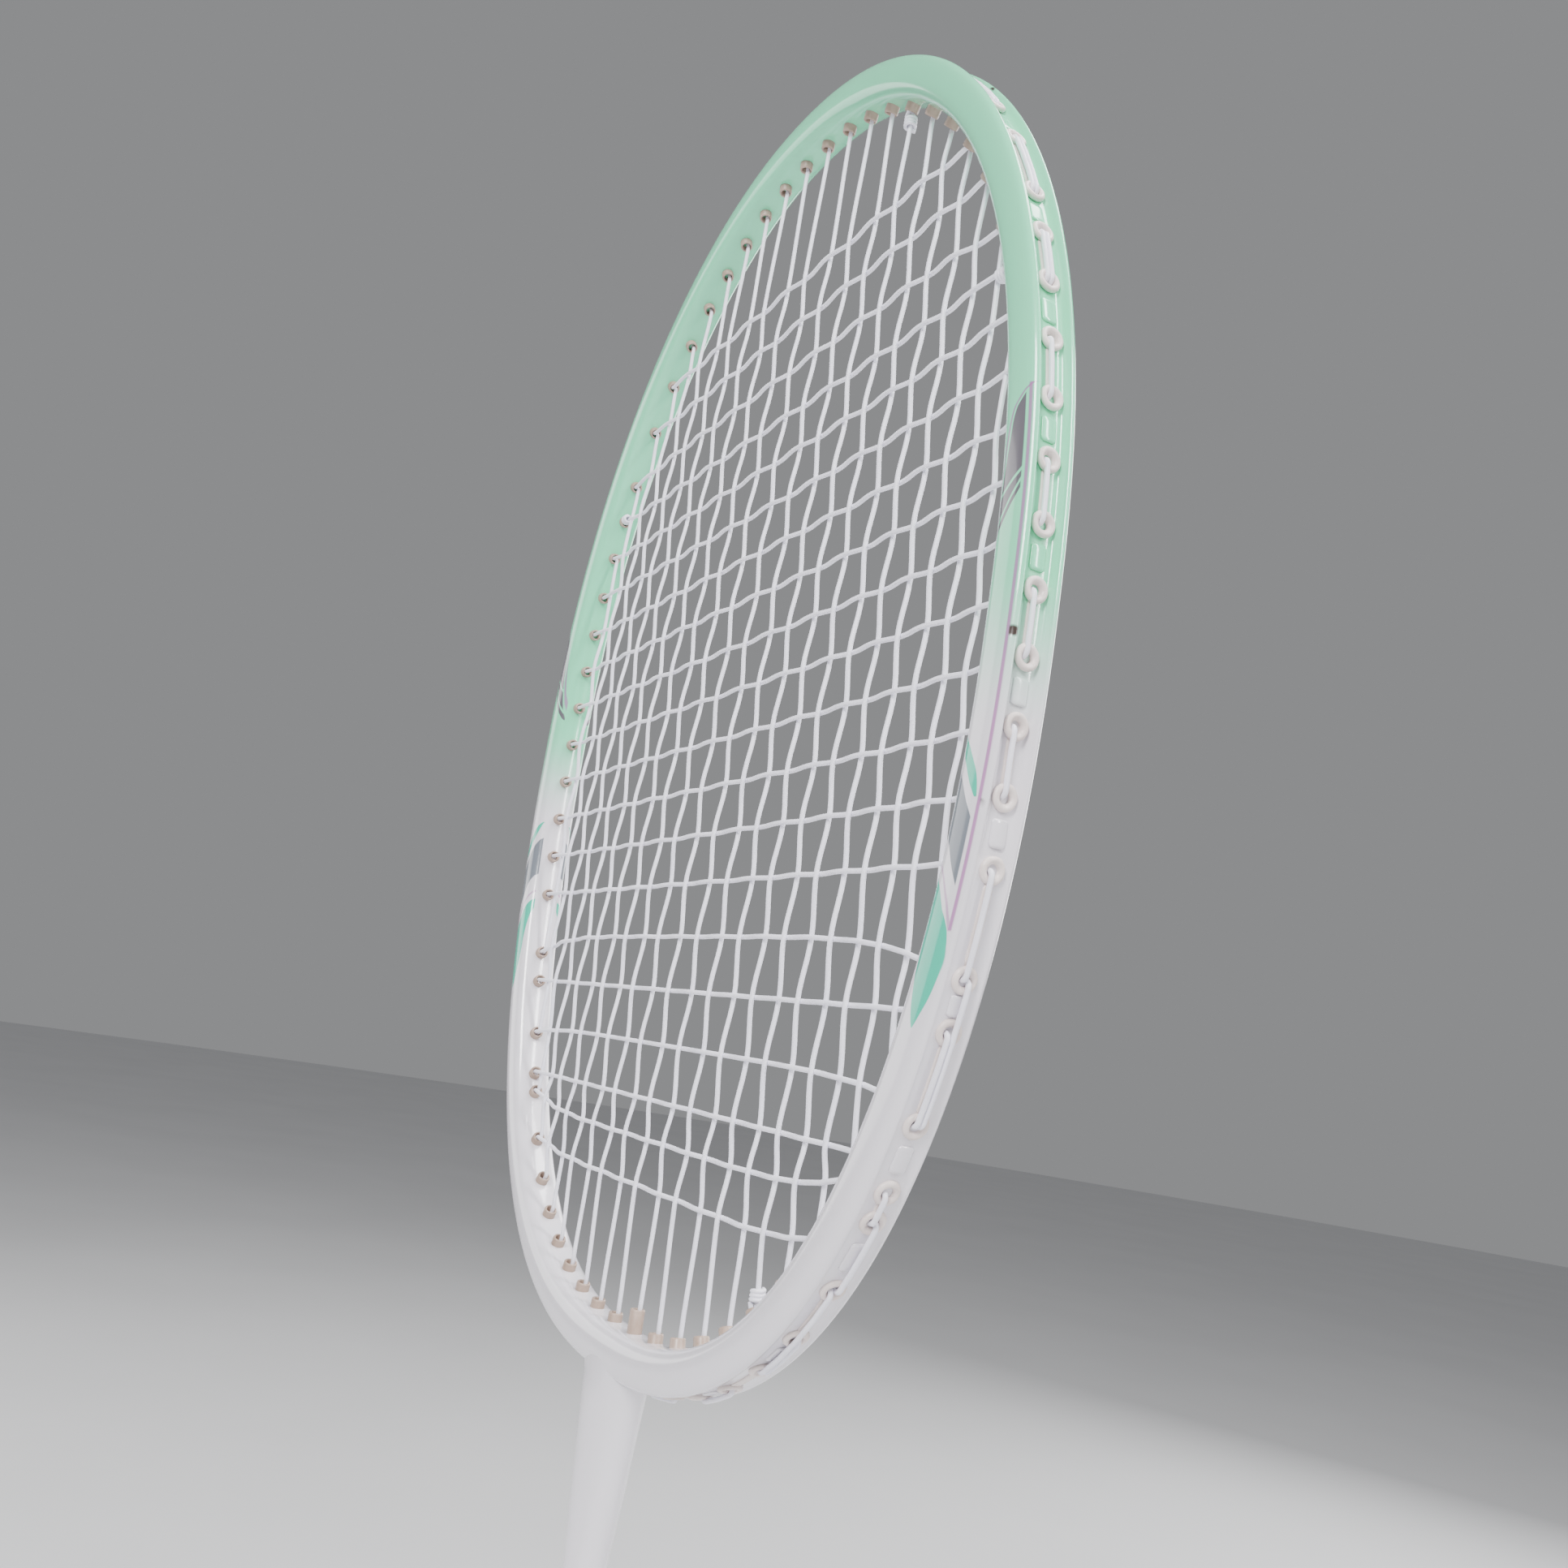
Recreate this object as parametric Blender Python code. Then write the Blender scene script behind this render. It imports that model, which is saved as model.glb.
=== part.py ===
"""Badminton racket: strung oval head on a slim shaft with a wrapped, eight-sided handle.

The racket stands on its butt cap. Z runs up the shaft to the top of the head, X runs
across the head and Y is square to the string bed. All lengths are in metres.
"""

import math

import bmesh
import bpy
from mathutils import Vector

MM = 0.001

# Overall sizes
OVERALL_LENGTH = 675 * MM
HEAD_WIDTH = 194 * MM
HEAD_LENGTH = 260 * MM

# Hoop tube of the head
TUBE_WIDTH = 7.8 * MM
TUBE_DEPTH = 9.4 * MM
GROOVE_WIDTH = 4.9 * MM
GROOVE_DEPTH = 1.8 * MM
HOOP_POWER = 2.24
HOOP_POWER_SKEW = 0.147
HOOP_STATIONS = 96

# String pattern
MAIN_COUNT = 22
MAIN_PITCH = 9.21 * MM
MAIN_PITCH_LOSS = 0.2725 * MM
# Gaps between neighbouring crosses, from the tip down: they open out near both ends.
CROSS_GAPS = [10.8 * MM] * 3 + [9.7 * MM] * 10 + [10.6 * MM] * 4 + [7.4 * MM, 8.6 * MM]
CROSS_COUNT = len(CROSS_GAPS) + 1
FIRST_CROSS_ABOVE_CENTRE = 90.4 * MM
SHARE_DISTANCE = 4.2 * MM
STRING_RADIUS = 0.40 * MM
WEAVE_HEIGHT = 0.90 * MM
SIDE_BY_SIDE = 0.45 * MM
MAIN_SETTLE = 5.0 * MM
TIE_REACH = 0.6 * MM
TIE_MAIN_TOP = 16
TIE_MAIN_FOOT = 17
TIE_CROSS = 4

# Grommets
HOLE_RADIUS = 1.85 * MM
BARREL_RADIUS = 1.60 * MM
BORE_RADIUS = 1.15 * MM
FLANGE_RADIUS = 2.25 * MM
FLANGE_THICKNESS = 0.45 * MM
FLANGE_GAP = 0.12 * MM
BARREL_STAND_OUT = 1.6 * MM
RUN_CLEARANCE = 0.28 * MM
GROMMET_SIDES = 6

# Knots where the string ends are tied off
KNOT_OUTER = 1.35 * MM
KNOT_INNER = 0.62 * MM
KNOT_HEIGHT = 1.8 * MM
KNOT_FROM_TIP = 2.2 * MM

# Throat and shaft
THROAT_TOP_HALF_WIDTH = 9.40 * MM
THROAT_TOP_HALF_DEPTH = 5.20 * MM
THROAT_LENGTH = 46 * MM
THROAT_TAPER_LENGTH = 34 * MM
THROAT_END_RADIUS = 3.60 * MM
TUNNEL_LENGTH = 20 * MM
TUNNEL_HEADROOM = 0.8 * MM
SHAFT_RADIUS = 3.55 * MM
SHAFT_BORE = 2.30 * MM
SHAFT_FOOT = 150 * MM
PIN_RADIUS = 2.15 * MM
PIN_REACH = 26 * MM
FIT_GAP = 0.15 * MM

# Handle
CAP_HEIGHT = 12.0 * MM
CAP_WIDTH = 30.5 * MM
CAP_DEPTH = 27.5 * MM
CORE_WIDTH = 24.0 * MM
CORE_DEPTH = 21.0 * MM
CORE_TOP = 176 * MM
GRIP_THICKNESS = 1.9 * MM
GRIP_TOP = 181 * MM
CORE_BORE_RADIUS = 4.7 * MM
BAND_HEIGHT = 14.0 * MM
BAND_THICKNESS = 0.30 * MM
CONE_BOTTOM = 176.3 * MM
CONE_TOP = 226 * MM
CONE_BOTTOM_RADIUS = 10.6 * MM
CONE_TOP_RADIUS = 5.0 * MM

TUBE_HALF = TUBE_WIDTH / 2
HALF_WIDTH = HEAD_WIDTH / 2 - TUBE_HALF
HALF_LENGTH = HEAD_LENGTH / 2 - TUBE_HALF
HEAD_CENTRE = OVERALL_LENGTH - HEAD_LENGTH / 2
HEAD_FOOT = HEAD_CENTRE - HALF_LENGTH
THROAT_END = HEAD_FOOT - TUBE_HALF - THROAT_LENGTH
TUNNEL_ROOF = TUBE_HALF - GROOVE_DEPTH - TUNNEL_HEADROOM
FLOOR_LEVEL = TUBE_HALF - GROOVE_DEPTH
FLANGE_BOTTOM = FLOOR_LEVEL + FLANGE_GAP
FLANGE_TOP = FLANGE_BOTTOM + FLANGE_THICKNESS
TIP_LEVEL = -TUBE_HALF - BARREL_STAND_OUT
RUN_LEVEL = FLANGE_TOP + STRING_RADIUS + RUN_CLEARANCE

# Colour (linear RGB), roughness and metallic value of each material
FINISHES = {
    "mint_lacquer": ((0.44, 0.84, 0.68), 0.16, 0.0),
    "white_lacquer": ((0.80, 0.80, 0.86), 0.14, 0.0),
    "grommet_nylon": ((0.66, 0.58, 0.54), 0.45, 0.0),
    "string_nylon": ((0.82, 0.81, 0.88), 0.35, 0.0),
    "carbon": ((0.03, 0.03, 0.035), 0.40, 0.0),
    "cone_plastic": ((0.78, 0.78, 0.82), 0.25, 0.0),
    "handle_wood": ((0.55, 0.38, 0.22), 0.60, 0.0),
    "grip_tape": ((0.80, 0.80, 0.82), 0.75, 0.0),
    "band_vinyl": ((0.30, 0.66, 0.54), 0.35, 0.0),
    "cap_plastic": ((0.76, 0.76, 0.80), 0.30, 0.0),
}
SMOOTH_LIMIT = math.radians(35)

for old in list(bpy.data.objects):
    bpy.data.objects.remove(old, do_unlink=True)


def make_material(name):
    colour, roughness, metallic = FINISHES[name]
    material = bpy.data.materials.new(name)
    material.use_nodes = True
    shader = material.node_tree.nodes["Principled BSDF"]
    shader.inputs["Base Color"].default_value = (*colour, 1.0)
    shader.inputs["Roughness"].default_value = roughness
    shader.inputs["Metallic"].default_value = metallic
    return material


MATERIALS = {name: make_material(name) for name in FINISHES}


# ---------------------------------------------------------------- mesh helpers
def add_object(name, points, faces, finish=None):
    """Link a mesh object whose faces all point outwards. With no finish it is a helper."""
    mesh = bpy.data.meshes.new(name)
    mesh.from_pydata([tuple(point) for point in points], [], faces)
    work = bmesh.new()
    work.from_mesh(mesh)
    bmesh.ops.recalc_face_normals(work, faces=work.faces)
    work.to_mesh(mesh)
    work.free()
    obj = bpy.data.objects.new(name, mesh)
    bpy.context.scene.collection.objects.link(obj)
    if finish:
        mesh.materials.append(MATERIALS[finish])
        mesh.shade_smooth()
        mesh.set_sharp_from_angle(angle=SMOOTH_LIMIT)
    else:
        obj.hide_render = True
        obj.display_type = "WIRE"
    return obj


def skin(rings, closed_ends=True, loop=False):
    """Faces that join equal rings of points, one ring after the other."""
    count = len(rings[0])
    points = [point for ring in rings for point in ring]
    faces = []
    last = len(rings) if loop else len(rings) - 1
    for row in range(last):
        here = row * count
        there = ((row + 1) % len(rings)) * count
        for side in range(count):
            after = (side + 1) % count
            faces.append((here + side, here + after, there + after, there + side))
    if closed_ends and not loop:
        faces.append(tuple(range(count)))
        faces.append(tuple(range(len(points) - count, len(points))))
    return points, faces


def ellipse_ring(height, half_x, half_y, sides):
    """Ring of points on an ellipse at one height on the shaft axis."""
    ring = []
    for side in range(sides):
        turn = 2 * math.pi * (side + 0.5) / sides
        ring.append(Vector((half_x * math.cos(turn), half_y * math.sin(turn), height)))
    return ring


def octagon_ring(height, width, depth):
    """Ring of an eight-sided handle section with broad bevels."""
    half_x = width / 2
    half_y = depth / 2
    cut = 0.27 * depth
    corners = []
    for sign_x, sign_y in ((1, 1), (-1, 1), (-1, -1), (1, -1)):
        side_point = Vector((sign_x * half_x, sign_y * (half_y - cut), height))
        face_point = Vector((sign_x * (half_x - cut), sign_y * half_y, height))
        if sign_x == sign_y:
            corners += [side_point, face_point]
        else:
            corners += [face_point, side_point]
    return corners


def hollow_loft(name, outer_rings, inner_rings, finish):
    """Closed tube body: up the outside and back down the inside."""
    points, faces = skin(outer_rings + inner_rings[::-1], loop=True)
    return add_object(name, points, faces, finish)


def string_tube(name, path, radius):
    """Square-section string along a path, with mitred bends and flat ends."""
    first = (path[1] - path[0]).normalized()
    side = Vector((0, 1, 0)) if abs(first.y) < 0.8 else Vector((0, 0, 1))
    side = (side - first * side.dot(first)).normalized()
    other = first.cross(side)
    offsets = [side * radius, other * radius, -side * radius, -other * radius]
    rings = [[path[0] + offset for offset in offsets]]
    for index in range(1, len(path)):
        arriving = (path[index] - path[index - 1]).normalized()
        if index < len(path) - 1:
            leaving = (path[index + 1] - path[index]).normalized()
        else:
            leaving = arriving
        plane = (arriving + leaving).normalized()
        mitred = [off - arriving * (off.dot(plane) / arriving.dot(plane)) for off in offsets]
        rings.append([path[index] + off for off in mitred])
        offsets = [off - leaving * off.dot(leaving) for off in mitred]
    points, faces = skin(rings)
    return add_object(name, points, faces, "string_nylon")


def cut_or_join(target, other, operation):
    """Apply one exact Boolean to the target."""
    step = target.modifiers.new(operation.lower(), "BOOLEAN")
    step.operation = operation
    step.solver = "EXACT"
    step.object = other


# ---------------------------------------------------------------- hoop line
def hoop_point(angle):
    """Point on the hoop's centre line, at an angle about the head centre."""
    power = HOOP_POWER - HOOP_POWER_SKEW * math.sin(angle)
    across = abs(math.cos(angle)) / HALF_WIDTH
    along = abs(math.sin(angle)) / HALF_LENGTH
    radius = (across**power + along**power) ** (-1 / power)
    return Vector((radius * math.cos(angle), 0, HEAD_CENTRE + radius * math.sin(angle)))


def hoop_tangent(angle):
    step = 1e-4
    return (hoop_point(angle + step) - hoop_point(angle - step)).normalized()


def hoop_outward(angle):
    tangent = hoop_tangent(angle)
    return Vector((tangent.z, 0, -tangent.x))


def tip_point(angle):
    """Middle of a grommet's inner mouth."""
    return hoop_point(angle) + hoop_outward(angle) * TIP_LEVEL


def solve(measure, low, high, target):
    """Angle between low and high at which a steadily changing measure meets its target."""
    rising = measure(high) > measure(low)
    for _ in range(50):
        middle = (low + high) / 2
        if (measure(middle) < target) == rising:
            low = middle
        else:
            high = middle
    return (low + high) / 2


# ---------------------------------------------------------------- string holes
def main_x(number):
    """Place across the head of a main string, numbered from the left."""
    middle = (MAIN_COUNT + 1) / 2
    steps = int(abs(number - middle))
    distance = MAIN_PITCH * (steps + 0.5) - MAIN_PITCH_LOSS * steps * (steps + 1) / 2
    return math.copysign(distance, number - middle)


def cross_z(number):
    """Height of a cross string, numbered from the top."""
    return HEAD_CENTRE + FIRST_CROSS_ABOVE_CENTRE - sum(CROSS_GAPS[: number - 1])


def make_hole(angle):
    """One hole: its inner mouth, its place in the groove and the hoop's own directions."""
    return {
        "angle": angle,
        "outward": hoop_outward(angle),
        "tangent": hoop_tangent(angle),
        "tip": tip_point(angle),
    }


def at_level(hole, level):
    """Point on a hole's axis at a level measured outwards from the hoop's centre line."""
    return hole["tip"] + hole["outward"] * (level - TIP_LEVEL)


holes = {}
for number in range(1, MAIN_COUNT + 1):
    top_angle = solve(lambda a: tip_point(a).x, 0.02, math.pi - 0.02, main_x(number))
    foot_angle = solve(lambda a: tip_point(a).x, 0.02 - math.pi, -0.02, main_x(number))
    holes["top", number] = make_hole(top_angle)
    holes["foot", number] = make_hole(foot_angle)

# Near the four corners of the pattern a cross shares the hole of the main it meets there.
main_holes = list(holes)
for number in range(1, CROSS_COUNT + 1):
    angle = solve(lambda a: tip_point(a).z, -1.5, 1.5, cross_z(number))
    own = make_hole(angle)
    end, main = min(main_holes, key=lambda key: (holes[key]["tip"] - own["tip"]).length)
    if (holes[end, main]["tip"] - own["tip"]).length < SHARE_DISTANCE:
        holes["right", number] = holes[end, main]
        holes["left", number] = holes[end, MAIN_COUNT + 1 - main]
    else:
        holes["right", number] = own
        holes["left", number] = make_hole(math.pi - angle)


def turn_from_throat(hole):
    return (hole["angle"] + math.pi / 2) % (2 * math.pi)


hole_ring = []
for hole in sorted(holes.values(), key=turn_from_throat):
    if hole not in hole_ring:
        hole_ring.append(hole)


# ---------------------------------------------------------------- head frame
def hoop_section():
    """Outline of the tube with its groove, as outward level and Y."""
    half_depth = TUBE_DEPTH / 2
    half = [
        (FLOOR_LEVEL, GROOVE_WIDTH / 2),
        (TUBE_HALF, 0.63 * half_depth),
        (0.82 * TUBE_HALF, 0.88 * half_depth),
        (0.40 * TUBE_HALF, 0.99 * half_depth),
        (-0.20 * TUBE_HALF, half_depth),
        (-0.68 * TUBE_HALF, 0.86 * half_depth),
        (-0.93 * TUBE_HALF, 0.50 * half_depth),
    ]
    middle = [(-TUBE_HALF, 0.0)]
    return half + middle + [(level, -y) for level, y in reversed(half)]


hoop_rings = []
for station in range(HOOP_STATIONS):
    angle = 2 * math.pi * station / HOOP_STATIONS
    centre = hoop_point(angle)
    outward = hoop_outward(angle)
    hoop_rings.append(
        [centre + outward * level + Vector((0, y, 0)) for level, y in hoop_section()]
    )
head_frame = add_object("head_frame", *skin(hoop_rings, loop=True), "mint_lacquer")

THROAT_SIDES = 16
throat_rings = [
    ellipse_ring(HEAD_FOOT, THROAT_TOP_HALF_WIDTH, 4.3 * MM, THROAT_SIDES),
    ellipse_ring(HEAD_FOOT - TUBE_HALF, THROAT_TOP_HALF_WIDTH, 4.9 * MM, THROAT_SIDES),
]
for share in (0.12, 0.5, 1.0):
    height = HEAD_FOOT - TUBE_HALF - share * THROAT_TAPER_LENGTH
    half_width = THROAT_TOP_HALF_WIDTH + (THROAT_END_RADIUS - THROAT_TOP_HALF_WIDTH) * share
    half_depth = THROAT_TOP_HALF_DEPTH + (THROAT_END_RADIUS - THROAT_TOP_HALF_DEPTH) * share
    throat_rings.append(ellipse_ring(height, half_width, half_depth, THROAT_SIDES))
throat_rings.append(ellipse_ring(THROAT_END, THROAT_END_RADIUS, THROAT_END_RADIUS, THROAT_SIDES))
throat = add_object("throat_helper", *skin(throat_rings))
cut_or_join(head_frame, throat, "UNION")


def round_along(hole, level, radius):
    """Ring of a grommet or of its hole, at one level."""
    ring = []
    for side in range(GROMMET_SIDES):
        turn = 2 * math.pi * (side + 0.5) / GROMMET_SIDES
        offset = hole["tangent"] * math.cos(turn) + Vector((0, 1, 0)) * math.sin(turn)
        ring.append(at_level(hole, level) + offset * radius)
    return ring


cutter_points = []
cutter_faces = []
for hole in hole_ring:
    inner_ring = round_along(hole, -TUBE_HALF - 1 * MM, HOLE_RADIUS)
    outer_ring = round_along(hole, TUBE_HALF + 0.6 * MM, HOLE_RADIUS)
    points, faces = skin([inner_ring, outer_ring])
    start = len(cutter_points)
    cutter_points += points
    cutter_faces += [tuple(start + index for index in face) for face in faces]
string_holes = add_object("string_hole_helper", cutter_points, cutter_faces)
cut_or_join(head_frame, string_holes, "DIFFERENCE")

# The groove carries on as a tunnel between hoop and throat, for the two middle mains.
tunnel_rings = []
for x in (-TUNNEL_LENGTH / 2, TUNNEL_LENGTH / 2):
    corners = []
    for sign_y, level in ((-1, TUNNEL_ROOF), (1, TUNNEL_ROOF), (1, TUBE_HALF), (-1, TUBE_HALF)):
        corners.append(Vector((x, sign_y * GROOVE_WIDTH / 2, HEAD_FOOT - level)))
    tunnel_rings.append(corners)
tunnel = add_object("tunnel_helper", *skin(tunnel_rings))
cut_or_join(head_frame, tunnel, "DIFFERENCE")

socket_rings = [
    ellipse_ring(THROAT_END - 1 * MM, SHAFT_BORE, SHAFT_BORE, 12),
    ellipse_ring(THROAT_END + PIN_REACH + 1 * MM, SHAFT_BORE, SHAFT_BORE, 12),
]
socket = add_object("socket_helper", *skin(socket_rings))
cut_or_join(head_frame, socket, "DIFFERENCE")


# ---------------------------------------------------------------- grommet strips
def grommet_strip(name, pair):
    """Two flanged barrels joined by a narrow web along the groove, as one body."""
    points = []
    faces = []
    levels = [
        (FLANGE_TOP, FLANGE_RADIUS),
        (FLANGE_BOTTOM, FLANGE_RADIUS),
        (FLANGE_BOTTOM, BARREL_RADIUS),
        (TIP_LEVEL, BARREL_RADIUS),
        (TIP_LEVEL, BORE_RADIUS),
        (FLANGE_TOP, BORE_RADIUS),
    ]
    facing_sides = (GROMMET_SIDES - 1, GROMMET_SIDES // 2 - 1)
    size = len(levels) * GROMMET_SIDES
    for which, hole in enumerate(pair):
        for level, radius in levels:
            points += round_along(hole, level, radius)
        for row in range(len(levels)):
            here = which * size + row * GROMMET_SIDES
            there = which * size + ((row + 1) % len(levels)) * GROMMET_SIDES
            for side in range(GROMMET_SIDES):
                if row == 0 and side == facing_sides[which]:
                    continue
                after = (side + 1) % GROMMET_SIDES
                faces.append((here + side, here + after, there + after, there + side))
    first_top = (facing_sides[0], (facing_sides[0] + 1) % GROMMET_SIDES)
    second_top = (size + facing_sides[1] + 1, size + facing_sides[1])
    first_low = tuple(index + GROMMET_SIDES for index in first_top)
    second_low = tuple(index + GROMMET_SIDES for index in second_top)
    faces.append((first_top[0], first_top[1], second_top[1], second_top[0]))
    faces.append((first_low[0], first_low[1], second_low[1], second_low[0]))
    for edge in (0, 1):
        faces.append((first_top[edge], first_low[edge], second_low[edge], second_top[edge]))
    return add_object(name, points, faces, "grommet_nylon")


for first in range(0, len(hole_ring), 2):
    grommet_strip(f"grommet_strip_{first // 2 + 1:02d}", hole_ring[first : first + 2])


# ---------------------------------------------------------------- strings
def through(hole, y_offset, outwards):
    """The two points of a string inside one hole."""
    shift = Vector((0, y_offset, 0))
    points = [at_level(hole, TIP_LEVEL) + shift, at_level(hole, RUN_LEVEL) + shift]
    return points if outwards else points[::-1]


def over(hole, y_offset):
    """Point where a string passes along the groove above a hole."""
    return at_level(hole, RUN_LEVEL) + Vector((0, y_offset, 0))


def passed_over(start, finish, y_offset):
    """Points above the holes that lie between two holes, the short way round."""
    first = hole_ring.index(start)
    last = hole_ring.index(finish)
    step = 1 if last > first else -1
    return [over(hole_ring[index], y_offset) for index in range(first + step, last, step)]


def tied_end(start, hole, y_offset):
    """A string end that goes along the groove and back in, and stops short of its knot."""
    inner = at_level(hole, TIP_LEVEL) + Vector((0, y_offset, 0))
    stop = inner - hole["outward"] * TIE_REACH
    return passed_over(start, hole, y_offset) + [over(hole, y_offset), inner, stop]


def settle_point(hole, number):
    """Where a main string leaves its hole and lies in the plane of the bed."""
    toward = 1 if hole["tip"].z < HEAD_CENTRE else -1
    return Vector((main_x(number), 0, hole["tip"].z + toward * MAIN_SETTLE))


main_path = tied_end(holes["top", 1], holes["left", TIE_CROSS], SIDE_BY_SIDE)[::-1]
left_at = None
for number in range(1, MAIN_COUNT + 1):
    ends = [holes["top", number], holes["foot", number]]
    if number % 2 == 0:
        ends.reverse()
    if left_at:
        main_path += passed_over(left_at, ends[0], SIDE_BY_SIDE)
    left_at = ends[1]
    main_path += through(ends[0], SIDE_BY_SIDE, outwards=False)
    main_path.append(settle_point(ends[0], number))
    main_path.append(settle_point(ends[1], number))
    main_path += through(ends[1], SIDE_BY_SIDE, outwards=True)
main_path += tied_end(holes["top", MAIN_COUNT], holes["right", TIE_CROSS], SIDE_BY_SIDE)
string_tube("main_string", main_path, STRING_RADIUS)


def weave(number):
    """Points where a cross string passes over and under the mains, from left to right."""
    points = []
    height = cross_z(number)
    for main in range(1, MAIN_COUNT + 1):
        low = holes["foot", main]["tip"].z
        high = holes["top", main]["tip"].z
        clear = abs(main_x(main)) < abs(holes["right", number]["tip"].x) - 2 * MM
        if low + 1.5 * MM < height < high - 1.5 * MM and clear:
            side = -1 if (main + number) % 2 == 0 else 1
            points.append(Vector((main_x(main), side * WEAVE_HEIGHT, height)))
    return points


cross_path = tied_end(holes["right", 1], holes["top", TIE_MAIN_TOP], -SIDE_BY_SIDE)[::-1]
for number in range(1, CROSS_COUNT + 1):
    row = weave(number)
    ends = [holes["left", number], holes["right", number]]
    if number % 2 == 1:
        row.reverse()
        ends.reverse()
    cross_path += through(ends[0], -SIDE_BY_SIDE, outwards=False)
    cross_path += row
    cross_path += through(ends[1], -SIDE_BY_SIDE, outwards=True)
cross_path += tied_end(holes["right", CROSS_COUNT], holes["foot", TIE_MAIN_FOOT], -SIDE_BY_SIDE)
string_tube("cross_string", cross_path, STRING_RADIUS)


def knot(name, centre, direction):
    """Ring of knotted string round the string that it is tied to."""
    side = Vector((0, 1, 0))
    other = direction.cross(side)
    half = direction * (KNOT_HEIGHT / 2)
    rings = []
    for radius, shift in (
        (KNOT_INNER, -half),
        (KNOT_OUTER, -half * 0.8),
        (KNOT_OUTER, half * 0.8),
        (KNOT_INNER, half),
    ):
        ring = []
        for step in range(8):
            turn = 2 * math.pi * step / 8
            ring.append(centre + shift + (side * math.cos(turn) + other * math.sin(turn)) * radius)
        rings.append(ring)
    return add_object(name, *skin(rings, loop=True), "string_nylon")


def main_knot(name, end, number):
    """Knot on a main string a little way in from its hole."""
    hole = holes[end, number]
    start = at_level(hole, TIP_LEVEL) + Vector((0, SIDE_BY_SIDE, 0))
    direction = (settle_point(hole, number) - start).normalized()
    knot(name, start + direction * KNOT_FROM_TIP, direction)


def cross_knot(name, side, number):
    """Knot on a cross string a little way in from its hole."""
    hole = holes[side, number]
    start = at_level(hole, TIP_LEVEL) + Vector((0, -SIDE_BY_SIDE, 0))
    row = weave(number)
    direction = ((row[-1] if side == "right" else row[0]) - start).normalized()
    knot(name, start + direction * KNOT_FROM_TIP, direction)


main_knot("knot_cross_start", "top", TIE_MAIN_TOP)
main_knot("knot_cross_finish", "foot", TIE_MAIN_FOOT)
cross_knot("knot_main_left", "left", TIE_CROSS)
cross_knot("knot_main_right", "right", TIE_CROSS)


# ---------------------------------------------------------------- shaft
SHAFT_SIDES = 16
shaft_outer = [
    ellipse_ring(height, SHAFT_RADIUS, SHAFT_RADIUS, SHAFT_SIDES)
    for height in (SHAFT_FOOT, THROAT_END - FIT_GAP)
]
shaft_inner = [
    ellipse_ring(height, SHAFT_BORE, SHAFT_BORE, SHAFT_SIDES)
    for height in (SHAFT_FOOT, THROAT_END - FIT_GAP)
]
hollow_loft("shaft", shaft_outer, shaft_inner, "white_lacquer")

pin_rings = [
    ellipse_ring(THROAT_END - PIN_REACH, PIN_RADIUS, PIN_RADIUS, 12),
    ellipse_ring(THROAT_END + PIN_REACH, PIN_RADIUS, PIN_RADIUS, 12),
]
add_object("throat_pin", *skin(pin_rings), "carbon")


# ---------------------------------------------------------------- handle
CORE_FOOT = CAP_HEIGHT + FIT_GAP


def core_bore_ring(height):
    """Bore of the handle core, as eight points that match its eight corners."""
    ring = []
    for corner in octagon_ring(height, CORE_WIDTH, CORE_DEPTH):
        away = Vector((corner.x, corner.y, 0)).normalized()
        ring.append(Vector((0, 0, height)) + away * CORE_BORE_RADIUS)
    return ring


hollow_loft(
    "handle_core",
    [octagon_ring(height, CORE_WIDTH, CORE_DEPTH) for height in (CORE_FOOT, CORE_TOP)],
    [core_bore_ring(height) for height in (CORE_FOOT, CORE_TOP)],
    "handle_wood",
)

grip_inner_size = (CORE_WIDTH + 2 * FIT_GAP, CORE_DEPTH + 2 * FIT_GAP)
grip_sections = (
    (CORE_FOOT, 1.6 * MM),
    (CORE_FOOT + 14 * MM, 0.0),
    (GRIP_TOP - 30 * MM, 0.0),
    (GRIP_TOP, -0.9 * MM),
)
grip_outer = []
for height, swell in grip_sections:
    extra = 2 * (GRIP_THICKNESS + swell / 2)
    grip_outer.append(
        octagon_ring(height, grip_inner_size[0] + extra, grip_inner_size[1] + extra)
    )
grip_inner = [octagon_ring(height, *grip_inner_size) for height, _ in grip_sections]
hollow_loft("grip_wrap", grip_outer, grip_inner, "grip_tape")

band_sections = []
for height in (GRIP_TOP - BAND_HEIGHT, GRIP_TOP + 0.4 * MM):
    gap = 2 * (GRIP_THICKNESS - 0.1 * MM)
    band_sections.append((height, grip_inner_size[0] + gap, grip_inner_size[1] + gap))
hollow_loft(
    "finishing_band",
    [
        octagon_ring(height, width + 2 * BAND_THICKNESS, depth + 2 * BAND_THICKNESS)
        for height, width, depth in band_sections
    ],
    [octagon_ring(height, width, depth) for height, width, depth in band_sections],
    "band_vinyl",
)

cone_profile = (
    (CONE_BOTTOM, CONE_BOTTOM_RADIUS),
    (CONE_BOTTOM + 6 * MM, CONE_BOTTOM_RADIUS - 0.3 * MM),
    (CONE_BOTTOM + 14 * MM, CONE_BOTTOM_RADIUS - 1.4 * MM),
    (CONE_TOP - 18 * MM, CONE_TOP_RADIUS + 1.5 * MM),
    (CONE_TOP - 1 * MM, CONE_TOP_RADIUS),
    (CONE_TOP, CONE_TOP_RADIUS - 0.7 * MM),
)
CONE_SIDES = 24
cone_outer = [ellipse_ring(height, radius, radius, CONE_SIDES) for height, radius in cone_profile]
cone_bore = SHAFT_RADIUS + FIT_GAP
cone_inner = [
    ellipse_ring(height, cone_bore, cone_bore, CONE_SIDES) for height, _ in cone_profile
]
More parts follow.
